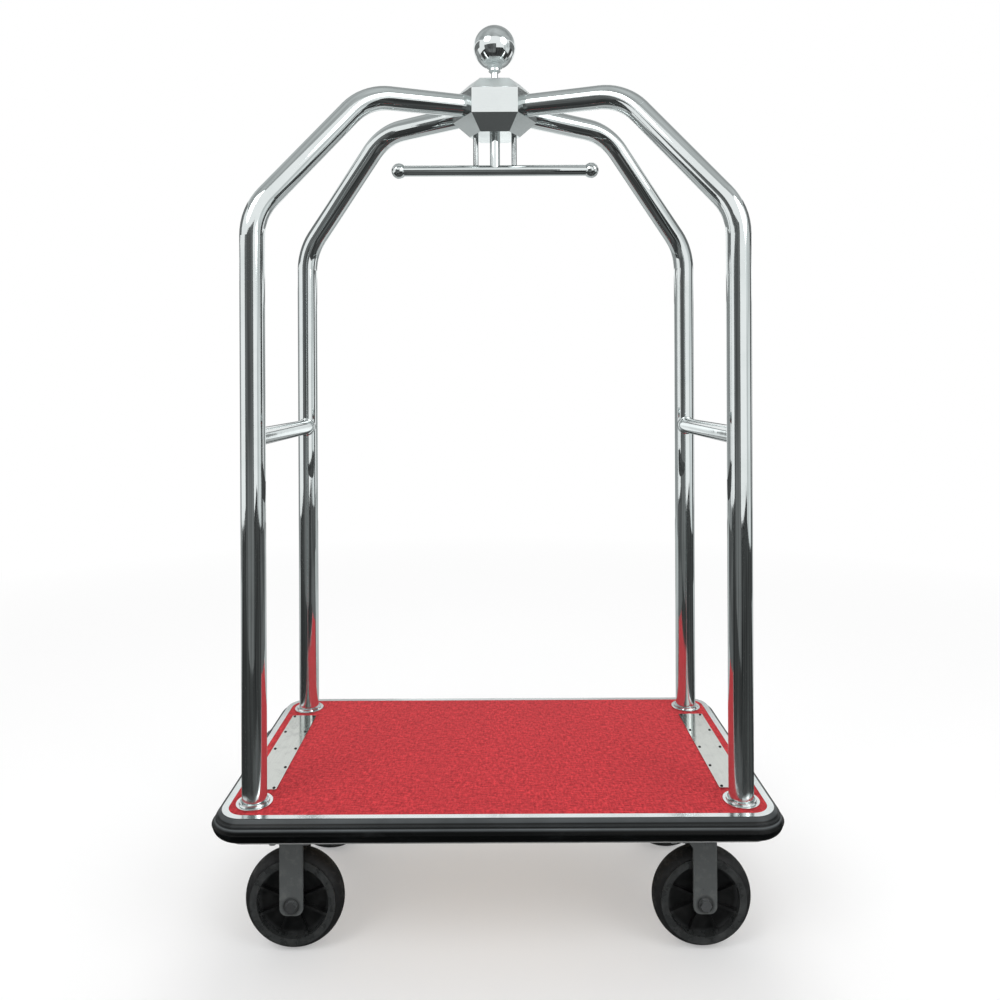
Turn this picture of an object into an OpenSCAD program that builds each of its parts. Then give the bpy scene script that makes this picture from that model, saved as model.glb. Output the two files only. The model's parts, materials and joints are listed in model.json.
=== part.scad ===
// Hotel luggage cart with four bent posts, a faceted crown, a garment bar and a carpeted deck on casters.
// X runs along the deck, Y across it with the front at -Y, Z is up from the floor.

/* [Frame] */
// Distance between post centres along the deck
post_span_x = 955; // [860:1:1050]
// Distance between post centres across the deck
post_span_y = 450; // [420:1:520]
// Post centre to the outer edge of the deck trim
post_inset = 58; // [52:0.5:70]
// Carpet to the point where the straight post and the slanted stretch would meet
shoulder_h = 1157; // [900:1:1300]
// Height from that point up to the centre line of the arms
crown_rise = 277; // [220:1:330]
// Distance of the upper bend from the centre line of the cart
shoulder_reach = 297; // [270:1:320]
// Slope of the arms, down from the crown
arm_slope = 3; // [0:0.5:5]

/* [Posts] */
// Outside diameter of a post tube
post_d = 48.3; // [44:0.1:52]
// Wall of a post tube
post_wall = 2; // [1.5:0.1:3]
// Centre-line radius of the bends
bend_r = 125; // [100:1:140]
// Outside diameter of an end rail
rail_d = 36; // [28:0.5:42]
// Wall of an end rail
rail_wall = 2; // [1.5:0.1:3]
// Carpet to the centre line of an end rail
rail_h = 715; // [400:1:1000]
// Outside diameter of a post flange
flange_d = 70; // [64:0.5:84]
// Thickness of a flange at its rim
flange_t = 2.5; // [2:0.1:4]
// Diameter of the raised collar of a flange
collar_d = 57; // [55:0.5:62]
// Height of the raised collar
collar_h = 7; // [5:0.5:14]
// Height of the threaded plug in a post foot
plug_h = 36; // [28:1:60]
// Diameter of the bolt that holds a post
post_bolt_d = 12; // [8:1:14]
// Length of bolt inside the plug
post_bolt_grip = 22; // [15:1:26]

/* [Crown] */
// Width of the front and back faces
hub_face_w = 100; // [80:1:120]
// Distance between the front and back faces
hub_depth = 146; // [130:1:160]
// Direction that a diagonal face points, from the long axis
hub_face_angle = 31; // [26:0.5:34]
// Height of the upright faces
hub_band_h = 54; // [53:0.5:64]
// Height and run of the sloped facets
hub_chamfer = 32; // [24:1:36]
// Distance from the cart's centre line to the floor of a socket
socket_reach = 61; // [58:0.5:66]
// Diameter of the cored passages that join the sockets
hub_core_d = 40; // [30:1:42]
// Diameter of the finial ball
ball_d = 95; // [70:1:110]
// Wall of the hollow finial ball
ball_wall = 3; // [2:0.5:6]
// Diameter of the finial stem
neck_d = 16; // [12:0.5:20]
// Height of the plain stem above the crown
neck_h = 25; // [18:1:40]
// Diameter of the ring above the stem
ring_d = 27; // [22:0.5:30]
// Height of that ring
ring_h = 9; // [6:0.5:12]
// Diameter of the cup under the ball
cup_d = 40; // [32:0.5:44]
// Height of the cup
cup_h = 6; // [4:0.5:10]
// How far stems, rods and the ball's spigot enter their bores
seat_depth = 14; // [8:1:20]

/* [Garment bar] */
// Diameter of the bar
bar_d = 24; // [20:0.5:28]
// Wall of the bar
bar_wall = 2; // [1.5:0.1:4]
// Distance between the centres of the ball ends
bar_span = 432; // [300:1:600]
// Crown underside to the bar's centre line
bar_drop = 75; // [60:1:140]
// Diameter of the ball ends
bar_ball_d = 34; // [30:0.5:44]
// Diameter of the centre tube
stem_d = 23; // [16:0.5:26]
// Diameter of the side rods
rod_d = 12; // [8:0.5:14]
// Distance between the side rods
rod_span = 86; // [70:1:92]

/* [Deck] */
// Seam of the carpet to a post flange
seam_gap = 3; // [2:0.5:6]
// Thickness of the carpet
carpet_t = 6; // [4:0.5:8]
// Thickness of the deck board
board_t = 18; // [15:0.5:24]
// Width of the chrome edge strip
trim_w = 12.5; // [10:0.5:18]
// Thickness of the edge strip
trim_t = 2; // [1.5:0.1:3]
// Corner radius at the outside of the edge strip
corner_r = 48; // [40:0.5:60]
// Thickness of the steel frame under the board
frame_t = 3; // [2:0.5:4]
// Depth of the skirt below the board
skirt_h = 32; // [20:0.5:36]
// Width of the ledge under the board's rim
ledge_w = 30; // [20:1:40]
// Reach of the corner gussets inward of a post
gusset_reach = 24; // [20:1:30]
// Height of the cross channels
channel_h = 49; // [40:1:60]
// Width of the cross channels
channel_w = 94; // [92:0.5:96]
// Thickness of the cross channels
channel_t = 3; // [2:0.5:4]
// Run of the sloped ends of the channels
channel_slope_run = 50; // [40:1:60]

/* [Bumper] */
// How far the rubber stands out past the edge strip
bumper_out = 17.5; // [14:0.5:20]
// Radius of the lower bulge
bumper_low_r = 22; // [18:0.5:26]
// Radius of the upper shoulder
bumper_top_r = 60; // [40:1:90]
// Carpet level to the widest line of the rubber
bumper_drop = 24; // [20:0.5:28]
// Radius of the beads along the shoulder and the widest line
bead_r = 1.2; // [0.8:0.1:2]
// Length of the block that joins the ends of the rubber
joiner_len = 38; // [20:1:60]
// Wall of that block
joiner_t = 3; // [2:0.5:4]
// Place of that block behind the middle of the left side
joiner_y = 92; // [0:1:120]

/* [End plates] */
// Width of an end plate
plate_w = 58; // [40:1:64]
// Length of an end plate
plate_len = 356; // [300:1:370]
// Thickness of an end plate
plate_t = 1.5; // [1:0.1:3]
// Screws along each long side
plate_screws = 5; // [3:1:8]
// Screw centre to the plate's edges
plate_screw_inset = 6; // [5:0.5:8]
// Diameter of a screw head
screw_head_d = 6.4; // [5:0.1:8]
// Height of a screw head
screw_head_h = 1.8; // [1.2:0.1:2.5]
// Diameter of a screw shank
screw_d = 3.5; // [3:0.1:4]
// Length of a screw shank
screw_len = 18; // [12:1:20]

/* [Casters] */
// Diameter of a wheel
wheel_d = 200; // [160:1:206]
// Width of a tyre
wheel_w = 50; // [40:1:54]
// Post centre to axle along the deck
axle_inset_x = 65.5; // [62:0.5:90]
// Post centre to wheel centre across the deck
axle_inset_y = 55; // [45:0.5:60]
// Distance from kingpin to axle on the swivel casters
trail = 32; // [24:1:38]
// Width of a fork leg
leg_w = 47; // [44:0.5:54]
// Thickness of a fork leg
leg_t = 6; // [5:0.5:8]
// Leg below the axle
leg_foot = 19.5; // [14:0.5:22]
// Corner radius of a leg's foot
leg_foot_r = 15; // [10:0.5:16]
// Tyre to the underside of the fork crown
crown_gap = 22; // [18:0.5:30]
// Thickness of a swivel fork's crown
crown_t = 6; // [5:0.5:8]
// Diameter of the balls in a swivel race
race_ball_d = 8; // [6:0.5:10]
// Radius of the ring of balls
race_r = 26; // [20:0.5:30]
// Width of the cage that holds the balls
race_cage_w = 10; // [6:0.5:12]
// Balls in a race
race_balls = 16; // [10:1:18]
// Thickness of a caster plate
caster_plate_t = 5; // [4:0.5:8]
// Size of a caster plate along the deck
caster_plate_x = 90; // [88:0.5:92]
// Size of a caster plate across the deck
caster_plate_y = 108; // [104:1:120]
// Bolt spacing along the deck
caster_bolt_x = 66; // [65:0.5:68]
// Bolt spacing across the deck
caster_bolt_y = 86; // [84:0.5:88]
// Diameter of the caster bolts
caster_bolt_d = 10; // [6:0.5:10]
// Diameter of a kingpin
kingpin_d = 16; // [12:0.5:20]
// Diameter of an axle
axle_d = 12; // [10:0.5:14]

/* [Wheels] */
// Thickness of the rubber tread
tread_t = 14; // [8:0.5:18]
// Crown radius of the tread across its width
tread_crown_r = 25; // [25:1:80]
// Width of the plastic rim ring seen from the side
rim_w = 14; // [8:0.5:18]
// Depth of the dish on each face
dish_depth = 16; // [10:0.5:18]
// Ribs on each face
ribs = 8; // [5:1:12]
// Thickness of a rib
rib_t = 5; // [3:0.5:8]
// Rib top below the rim's face
rib_drop = 6; // [3:0.5:9]
// Diameter of the hub boss
boss_d = 42; // [36:0.5:50]
// Diameter of the bearing bush
bush_d = 22; // [18:0.5:26]
// How far the bush stands out of the tyre's face
bush_stand = 3; // [2:0.5:5]

/* [Hidden] */
$fn = 96;
hex = 6;
// Radial clearance of a shaft or spigot in its bore
fit = 0.05;
// Running clearance between faces that move past each other
play = 0.4;
// Clearance round pieces that are only laid or pushed together
loose = 0.1;
// Extra reach of a cutting solid past the face that it cuts
past = 1;
// Extra wall of a tube bend, and the length of straight run that ends inside it
swell = 0.1;
lap = 1;
// Across corners and height of bolt heads and nuts, as shares of the thread
head_share = 1.84;
head_h_share = 0.65;
nut_h_share = 0.8;

crown_z0 = wheel_d + crown_gap;
race_z0 = crown_z0 + crown_t + play;
caster_plate_z = race_z0 + race_ball_d + play;
caster_h = caster_plate_z + caster_plate_t;
ledge_z = caster_h + channel_h;
board_z = ledge_z + frame_t;
board_top = board_z + board_t;
deck_top = board_top + carpet_t;
skirt_z = board_z - skirt_h;
bumper_z = deck_top - bumper_drop;
deck_l = post_span_x + 2 * post_inset;
deck_w = post_span_y + 2 * post_inset;
post_x = post_span_x / 2;
post_y = post_span_y / 2;
post_reach = norm([post_x, post_y]);
lower_z = deck_top + shoulder_h;
arm_z = lower_z + crown_rise;
rail_z = deck_top + rail_h;
hub_side_reach = hub_face_w / 2 * cos(hub_face_angle) + hub_depth / 2 * sin(hub_face_angle);
socket_lift = hub_side_reach * tan(arm_slope);
knee_r = shoulder_reach * cos(arm_slope);
knee_z = arm_z + socket_lift - shoulder_reach * sin(arm_slope);
lower_bend = atan2(post_reach - knee_r, knee_z - lower_z);
upper_bend = 90 - arm_slope - lower_bend;
lower_tangent = bend_r * tan(lower_bend / 2);
upper_tangent = bend_r * tan(upper_bend / 2);
slant_len = norm([post_reach - knee_r, knee_z - lower_z]) - lower_tangent - upper_tangent;
hub_bottom = arm_z - hub_band_h / 2 - hub_chamfer;
hub_top = arm_z + hub_band_h / 2 + hub_chamfer;
ball_z = hub_top + neck_h + ring_h + cup_h + sqrt(pow(ball_d / 2, 2) - pow(cup_d / 2, 2));
bar_z = hub_bottom - bar_drop;
axle_x = post_x - axle_inset_x;
axle_y = post_y - axle_inset_y;
axle_z = wheel_d / 2;
kingpin_x = axle_x - trail;
bush_len = wheel_w + 2 * bush_stand;
leg_in = bush_len / 2 + play;
leg_out = leg_in + leg_t;
core_r = wheel_d / 2 - tread_t - loose / 2;
dish_r = wheel_d / 2 - tread_t - rim_w;
nut_slack = 2;

module rounded_rect(l, w, r) {
  square([l - 2 * r, w], center = true);
  square([l, w - 2 * r], center = true);
  for (sx = [-1, 1], sy = [-1, 1])
    translate([sx * (l / 2 - r), sy * (w / 2 - r)])
      circle(r = r);
}

// Outline of the deck, drawn in by inset from the outside of the edge strip
module deck_outline(inset) {
  rounded_rect(deck_l - 2 * inset, deck_w - 2 * inset, corner_r - inset);
}

module deck_ring(inset_out, inset_in) {
  difference() {
    deck_outline(inset_out);
    deck_outline(inset_in);
  }
}

module tube_section(d, wall) {
  difference() {
    circle(d = d);
    circle(d = d - 2 * wall);
  }
}

module hex_bolt(d, len) {
  cylinder(d = d, h = len);
  translate([0, 0, -head_h_share * d])
    cylinder(d = head_share * d, h = head_h_share * d, $fn = hex);
}

module hex_nut(d) {
  difference() {
    cylinder(d = head_share * d, h = nut_h_share * d, $fn = hex);
    translate([0, 0, -past])
      cylinder(d = d + 2 * fit, h = nut_h_share * d + 2 * past);
  }
}

module at_posts() {
  for (sx = [-1, 1], sy = [-1, 1])
    translate([sx * post_x, sy * post_y])
      children();
}

module at_caster_bolts() {
  for (bx = [-1, 1], by = [-1, 1])
    translate([bx * caster_bolt_x / 2, by * caster_bolt_y / 2])
      children();
}

// Places children at the plate centre of every caster, or of one end only
module at_caster_plates(ends = [-1, 1]) {
  for (sx = ends, sy = [-1, 1])
    translate([sx < 0 ? -axle_x : kingpin_x, sy * axle_y])
      children();
}

module at_plate_screws() {
  for (sx = [-1, 1], side = [-1, 1], i = [0 : plate_screws - 1])
    translate([
      sx * post_x + side * (plate_w / 2 - plate_screw_inset),
      (i / (plate_screws - 1) - 0.5) * (plate_len - 2 * plate_screw_inset)
    ])
      children();
}

// Straight length of post tube whose ends may run into a bend, with what follows placed at its end
module tube_run(len, start_lap, end_lap) {
  translate([0, 0, -start_lap])
    linear_extrude(start_lap + len + end_lap)
      tube_section(post_d, post_wall);
  translate([0, 0, len])
    children();
}

// Bend of the post tube toward -X, a hair thicker than the runs, with what follows placed at its end
module tube_bend(angle) {
  translate([-bend_r, 0, 0]) {
    rotate([90, 0, 0])
      rotate_extrude(angle = angle)
        translate([bend_r, 0])
          tube_section(post_d + 2 * swell, post_wall + 2 * swell);
    rotate([0, -angle, 0])
      translate([bend_r, 0, 0])
        children();
  }
}

// Post, drawn upward from its foot in the plane through the cart's centre line
module post(sx, sy) {
  color("gainsboro")
    rotate([0, 0, atan2(sy * post_y, sx * post_x)])
      translate([post_reach, 0, board_top])
        tube_run(lower_z - lower_tangent - board_top, 0, lap)
          tube_bend(lower_bend)
            tube_run(slant_len, lap, lap)
              tube_bend(upper_bend)
                tube_run(shoulder_reach - upper_tangent - socket_reach, lap, 0);
}

module side_rail(sx) {
  color("gainsboro")
    difference() {
      translate([sx * post_x, post_y, rail_z])
        rotate([90, 0, 0])
          linear_extrude(post_span_y)
            tube_section(rail_d, rail_wall);
      for (sy = [-1, 1])
        translate([sx * post_x, sy * post_y, rail_z - rail_d])
          cylinder(d = post_d + 2 * fit, h = 2 * rail_d);
    }
}

// Cuts away what lies outside a 45 degree facet that starts at the top of the upright faces
module facet_cut(angle, reach) {
  rotate([0, 0, angle])
    translate([reach, 0, hub_band_h / 2])
      rotate([0, -45, 0])
        translate([0, -hub_depth, -hub_depth])
          cube(2 * hub_depth);
}

module crown_hub() {
  side_angles = [hub_face_angle, 180 - hub_face_angle, 180 + hub_face_angle, -hub_face_angle];
  tip = hub_side_reach / cos(hub_face_angle);
  color("silver")
    difference() {
      translate([0, 0, arm_z])
        difference() {
          translate([0, 0, -hub_band_h / 2 - hub_chamfer])
            linear_extrude(hub_band_h + 2 * hub_chamfer)
              polygon([
                [tip, 0], [hub_face_w / 2, hub_depth / 2], [-hub_face_w / 2, hub_depth / 2],
                [-tip, 0], [-hub_face_w / 2, -hub_depth / 2], [hub_face_w / 2, -hub_depth / 2]
              ]);
          for (up = [0, 1])
            mirror([0, 0, up]) {
              for (a = side_angles)
                facet_cut(a, hub_side_reach);
              for (a = [-90, 90])
                facet_cut(a, hub_depth / 2);
            }
          for (sx = [-1, 1], sy = [-1, 1])
            rotate([0, 0, atan2(sy * post_y, sx * post_x)])
              translate([0, 0, socket_lift])
                rotate([0, 90 + arm_slope, 0]) {
                  cylinder(d = hub_core_d, h = hub_depth);
                  translate([0, 0, socket_reach])
                    cylinder(d = post_d + 2 * fit, h = hub_depth);
                }
        }
      translate([0, 0, hub_bottom - past]) {
        cylinder(d = stem_d + 2 * fit, h = seat_depth + past);
        for (sx = [-1, 1])
          translate([sx * rod_span / 2, 0])
            cylinder(d = rod_d + 2 * fit, h = seat_depth + past);
      }
      translate([0, 0, hub_top - seat_depth])
        cylinder(d = neck_d + 2 * fit, h = seat_depth + past);
    }
}

module finial_stem() {
  ring_z = hub_top + neck_h;
  cup_z = ring_z + ring_h;
  color("silver")
    difference() {
      union() {
        translate([0, 0, hub_top - seat_depth])
          cylinder(d = neck_d, h = seat_depth + neck_h);
        translate([0, 0, ring_z])
          cylinder(d1 = neck_d, d2 = ring_d, h = ring_h / 2);
        translate([0, 0, ring_z + ring_h / 2])
          cylinder(d = ring_d, h = ring_h / 2);
        translate([0, 0, cup_z])
          cylinder(d1 = ring_d, d2 = cup_d, h = cup_h);
        translate([0, 0, cup_z + cup_h])
          cylinder(d = neck_d, h = seat_depth);
      }
      difference() {
        translate([0, 0, ball_z])
          sphere(d = ball_d + 2 * fit);
        translate([0, 0, cup_z])
          cylinder(d = neck_d, h = cup_h + seat_depth);
      }
    }
}

module finial_ball() {
  color("silver")
    difference() {
      translate([0, 0, ball_z])
        sphere(d = ball_d);
      translate([0, 0, ball_z])
        sphere(d = ball_d - 2 * ball_wall);
      translate([0, 0, ball_z - ball_d / 2 - past])
        cylinder(d = neck_d + 2 * fit, h = ball_d / 2);
    }
}

// Rod from its bore in the crown down to the bar, coped to the bar's surface
module hanger_drop(d) {
  difference() {
    translate([0, 0, bar_z])
      cylinder(d = d, h = bar_drop + seat_depth);
    translate([-d, 0, bar_z])
      rotate([0, 90, 0])
        cylinder(d = bar_d + 2 * fit, h = 2 * d);
  }
}

module hanger_stem() {
  color("silver")
    hanger_drop(stem_d);
}

module hanger_rods() {
  color("silver")
    for (sx = [-1, 1])
      translate([sx * rod_span / 2, 0])
        hanger_drop(rod_d);
}

module hanger_bar() {
  color("silver")
    translate([-bar_span / 2, 0, bar_z])
      rotate([0, 90, 0])
        linear_extrude(bar_span)
          tube_section(bar_d, bar_wall);
}

module hanger_bar_balls() {
  color("silver")
    for (sx = [-1, 1])
      difference() {
        translate([sx * bar_span / 2, 0, bar_z])
          sphere(d = bar_ball_d);
        translate([0, 0, bar_z])
          rotate([0, sx * 90, 0])
            cylinder(d = bar_d + 2 * fit, h = bar_span / 2);
      }
}

module post_flanges() {
  color("silver")
    translate([0, 0, deck_top])
      at_posts()
        difference() {
          union() {
            cylinder(d = flange_d, h = flange_t);
            translate([0, 0, flange_t])
              cylinder(d1 = collar_d + flange_t, d2 = collar_d, h = flange_t);
            cylinder(d = collar_d, h = collar_h);
          }
          translate([0, 0, -past])
            cylinder(d = post_d + 2 * fit, h = collar_h + 2 * past);
          translate([0, 0, collar_h - flange_t])
            cylinder(d1 = post_d, d2 = post_d + 2 * flange_t, h = flange_t + fit);
        }
}

module post_plugs() {
  color("dimgray")
    translate([0, 0, board_top])
      at_posts()
        difference() {
          cylinder(d = post_d - 2 * post_wall - 2 * fit, h = plug_h);
          translate([0, 0, -past])
            cylinder(d = post_bolt_d + 2 * fit, h = post_bolt_grip + nut_slack + past);
        }
}

module post_bolts() {
  color("dimgray")
    translate([0, 0, ledge_z])
      at_posts()
        hex_bolt(post_bolt_d, frame_t + board_t + post_bolt_grip);
}

module deck_board() {
  color("burlywood")
    difference() {
      translate([0, 0, board_z])
        linear_extrude(board_t)
          deck_outline(trim_w + loose);
      translate([0, 0, board_z - past])
        at_posts()
          cylinder(d = post_bolt_d + 2 * fit, h = board_t + 2 * past);
      translate([0, 0, deck_top + plate_t - screw_len - loose])
        at_plate_screws()
          cylinder(d = screw_d + 2 * fit, h = screw_len);
    }
}

// Angle frame: a ledge under the board with corner gussets, and a skirt round its rim
module deck_frame() {
  corner = post_inset + gusset_reach;
  color("gray")
    difference() {
      union() {
        translate([0, 0, ledge_z])
          linear_extrude(frame_t) {
            deck_ring(trim_w + loose, trim_w + loose + ledge_w);
            intersection() {
              deck_outline(trim_w + loose);
              for (sx = [-1, 1], sy = [-1, 1])
                translate([sx * (deck_l - corner) / 2, sy * (deck_w - corner) / 2])
                  square(corner, center = true);
            }
          }
        translate([0, 0, skirt_z])
          linear_extrude(skirt_h)
            deck_ring(trim_w + loose, trim_w + loose + frame_t);
      }
      translate([0, 0, ledge_z - past])
        at_posts()
          cylinder(d = post_bolt_d + 2 * fit, h = frame_t + 2 * past);
    }
}

// Cross channel, open upward, with sloped ends that reach under the ledge
module caster_channel(sx) {
  half = deck_w / 2 - trim_w - loose - frame_t;
  color("gray")
    difference() {
      translate([sx < 0 ? -axle_x : kingpin_x, 0, caster_h])
        difference() {
          translate([-channel_w / 2, 0, 0])
            rotate([90, 0, 90])
              linear_extrude(channel_w)
                polygon([
                  [-half, channel_h], [-half + channel_slope_run, 0],
                  [half - channel_slope_run, 0], [half, channel_h]
                ]);
          translate([-channel_w / 2 + channel_t, -half - past, channel_t])
            cube([channel_w - 2 * channel_t, 2 * half + 2 * past, channel_h]);
        }
      translate([0, 0, caster_h - past])
        at_caster_plates([sx])
          at_caster_bolts()
            cylinder(d = caster_bolt_d + 2 * fit, h = channel_t + 2 * past);
    }
}

// A middle field and two end fields, butted beside the flanges
module carpet() {
  seam_x = post_x - flange_d / 2 - seam_gap;
  color("firebrick")
    difference() {
      translate([0, 0, board_top])
        linear_extrude(carpet_t)
          deck_outline(trim_w + 2 * loose);
      translate([0, 0, board_top - past]) {
        for (sx = [-1, 1])
          translate([sx * seam_x - loose, -deck_w / 2, 0])
            cube([2 * loose, deck_w, carpet_t + 2 * past]);
        at_posts()
          cylinder(d = post_d + 2 * loose, h = carpet_t + 2 * past);
        at_plate_screws()
          cylinder(d = screw_d + 2 * fit, h = carpet_t + 2 * past);
      }
    }
}

module edge_trim() {
  color("gainsboro") {
    translate([0, 0, deck_top - trim_t])
      linear_extrude(trim_t)
        deck_ring(0, trim_w);
    translate([0, 0, bumper_z - bumper_low_r + trim_t])
      linear_extrude(bumper_drop + bumper_low_r - 2 * trim_t)
        deck_ring(trim_w - trim_t, trim_w);
  }
}

// Section of the rubber: X is outward from the edge strip, Y is up from the widest line
module bumper_section(grow = 0) {
  back = trim_t - trim_w + loose;
  lip = bumper_drop - trim_t / 2;
  chord = norm([bumper_out, lip]);
  sag = sqrt(pow(bumper_top_r, 2) - pow(chord / 2, 2)) / chord;
  rise = bumper_top_r - sag * chord;
  intersection() {
    translate([bumper_out - bumper_low_r, 0])
      circle(r = bumper_low_r + grow);
    translate([back, -2 * bumper_low_r])
      square([4 * bumper_low_r, 2 * bumper_low_r]);
  }
  intersection() {
    translate([bumper_out / 2 - sag * lip, lip / 2 - sag * bumper_out])
      circle(r = bumper_top_r + grow);
    translate([loose, 0])
      square(2 * bumper_top_r);
  }
  translate([back, 0])
    square([loose - back, bumper_drop - trim_t]);
  for (at = [[bumper_out, 0], [bumper_out / 2 + rise * lip / chord, lip / 2 + rise * bumper_out / chord]])
    translate(at)
      circle(r = bead_r + grow);
}

module bumper() {
  run_x = deck_l - 2 * corner_r;
  run_y = deck_w - 2 * corner_r;
  color([0.1, 0.1, 0.1])
    translate([0, 0, bumper_z])
      for (half_turn = [0, 180])
        rotate([0, 0, half_turn]) {
          translate([deck_l / 2, run_y / 2])
            rotate([90, 0, 0])
              linear_extrude(run_y)
                bumper_section();
          translate([run_x / 2, deck_w / 2])
            rotate([90, 0, 90])
              mirror([0, 0, 1])
                linear_extrude(run_x)
                  bumper_section();
          translate([run_x / 2, run_y / 2])
            rotate_extrude(angle = 90)
              translate([corner_r, 0])
                bumper_section();
          translate([-run_x / 2, run_y / 2])
            rotate([0, 0, 90])
              rotate_extrude(angle = 90)
                translate([corner_r, 0])
                  bumper_section();
        }
}

// Block over the joint of the rubber, on the left side
module bumper_joiner() {
  color([0.1, 0.1, 0.1])
    translate([-deck_l / 2, joiner_y - joiner_len / 2, bumper_z])
      mirror([1, 0, 0])
        translate([0, joiner_len, 0])
          rotate([90, 0, 0])
            linear_extrude(joiner_len)
              intersection() {
                difference() {
                  bumper_section(joiner_t);
                  bumper_section(fit);
                }
                translate([joiner_t, -bumper_low_r])
                  square([2 * bumper_out, bumper_low_r + bumper_drop - trim_t]);
              }
}

module end_plate(sx) {
  color("silver")
    difference() {
      translate([sx * post_x, 0, deck_top])
        linear_extrude(plate_t)
          rounded_rect(plate_w, plate_len, plate_screw_inset / 2);
      translate([0, 0, deck_top - past])
        at_plate_screws()
          cylinder(d = screw_d + 2 * fit, h = plate_t + 2 * past);
    }
}

module end_plate_screws() {
  color("dimgray")
    translate([0, 0, deck_top + plate_t])
      at_plate_screws() {
        translate([0, 0, -screw_len])
          cylinder(d = screw_d, h = screw_len);
        cylinder(d1 = screw_head_d, d2 = screw_head_d / 2, h = screw_head_h);
      }
}

// Outline of a fork leg about the axle, up to a given height
module leg_outline(top) {
  translate([-leg_w / 2, leg_foot_r - leg_foot])
    square([leg_w, top + leg_foot - leg_foot_r]);
  translate([leg_foot_r - leg_w / 2, -leg_foot])
    square([leg_w - 2 * leg_foot_r, leg_foot]);
  for (sx = [-1, 1])
    translate([sx * (leg_w / 2 - leg_foot_r), leg_foot_r - leg_foot])
      circle(r = leg_foot_r);
}

// Places an outline drawn in X and Z on both sides of the wheel
module both_legs() {
  for (sy = [-1, 1])
    translate([0, sy > 0 ? leg_out : -leg_in, 0])
      rotate([90, 0, 0])
        linear_extrude(leg_t)
          children();
}

module axle_bore() {
  rotate([90, 0, 0])
    cylinder(d = axle_d + 2 * fit, h = 4 * leg_out, center = true);
}

module caster_plate_blank() {
  linear_extrude(caster_plate_t)
    rounded_rect(caster_plate_x, caster_plate_y, caster_plate_t);
}

module caster_plate_holes() {
  at_caster_bolts()
    translate([0, 0, -past])
      cylinder(d = caster_bolt_d + 2 * fit, h = caster_plate_t + 2 * past);
}

// Fixed caster: plate and two straight legs in one weldment
module rigid_fork(sy) {
  color("dimgray")
    translate([-axle_x, sy * axle_y, 0])
      difference() {
        union() {
          translate([0, 0, axle_z])
            both_legs()
              leg_outline(caster_plate_z - axle_z);
          translate([0, 0, caster_plate_z])
            caster_plate_blank();
        }
        translate([0, 0, axle_z])
          axle_bore();
        translate([0, 0, caster_plate_z])
          caster_plate_holes();
      }
}

// Swivel fork: round crown over the kingpin, and legs set back by the trail
module swivel_fork(sy) {
  color("dimgray")
    translate([kingpin_x, sy * axle_y, 0])
      difference() {
        union() {
          translate([0, 0, crown_z0])
            linear_extrude(crown_t) {
              circle(r = leg_out);
              translate([0, -leg_out])
                square([trail + leg_w / 2, 2 * leg_out]);
            }
          translate([trail, 0, axle_z])
            both_legs() {
              leg_outline(crown_z0 - axle_z);
              polygon([
                [-leg_w / 2, crown_z0 - axle_z - crown_gap / 2],
                [-leg_w / 2, crown_z0 - axle_z],
                [-trail, crown_z0 - axle_z]
              ]);
            }
        }
        translate([trail, 0, axle_z])
          axle_bore();
        translate([0, 0, crown_z0 - past])
          cylinder(d = kingpin_d + 2 * fit, h = crown_t + 2 * past);
      }
}

module swivel_plate(sy) {
  color("silver")
    translate([kingpin_x, sy * axle_y, caster_plate_z])
      difference() {
        caster_plate_blank();
        caster_plate_holes();
        translate([0, 0, -past])
          cylinder(d = kingpin_d + 2 * fit, h = caster_plate_t + 2 * past);
      }
}

module kingpin(sy) {
  bottom = crown_z0 - play - nut_h_share * kingpin_d - nut_slack;
  color("silver")
    translate([kingpin_x, sy * axle_y, bottom])
      cylinder(d = kingpin_d, h = caster_h - bottom);
}

module kingpin_nuts() {
  color("silver")
    for (sy = [-1, 1])
      translate([kingpin_x, sy * axle_y, crown_z0 - play - nut_h_share * kingpin_d])
        hex_nut(kingpin_d);
}

// Balls held in a flat cage between the swivel plate and the fork crown
module ball_race(sy) {
  color("silver")
    translate([kingpin_x, sy * axle_y, race_z0 + race_ball_d / 2]) {
      rotate_extrude()
        translate([race_r, 0])
          square([race_cage_w, race_ball_d / 2], center = true);
      for (i = [0 : race_balls - 1])
        rotate([0, 0, i * 360 / race_balls])
          translate([race_r, 0, 0])
            sphere(d = race_ball_d, $fn = 32);
    }
}

// Places children at a wheel's centre, with its outer side turned to -Y
module at_wheel(sx, sy) {
  translate([sx * axle_x, sy * axle_y, axle_z])
    rotate([0, 0, sy > 0 ? 180 : 0])
      children();
}

module axle(sx, sy) {
  color("silver")
    at_wheel(sx, sy)
      translate([0, -leg_out, 0])
        rotate([-90, 0, 0])
          hex_bolt(axle_d, 2 * leg_out + nut_h_share * axle_d + nut_slack);
}

module axle_nut(sx, sy) {
  color("silver")
    at_wheel(sx, sy)
      translate([0, leg_out, 0])
        rotate([-90, 0, 0])
          hex_nut(axle_d);
}

module left_axle_nuts() {
  for (sy = [-1, 1])
    axle_nut(-1, sy);
}

module wheel_bush(sx, sy) {
  color("goldenrod")
    at_wheel(sx, sy)
      rotate([90, 0, 0])
        linear_extrude(bush_len, center = true)
          tube_section(bush_d, (bush_d - axle_d) / 2 - fit);
}

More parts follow.
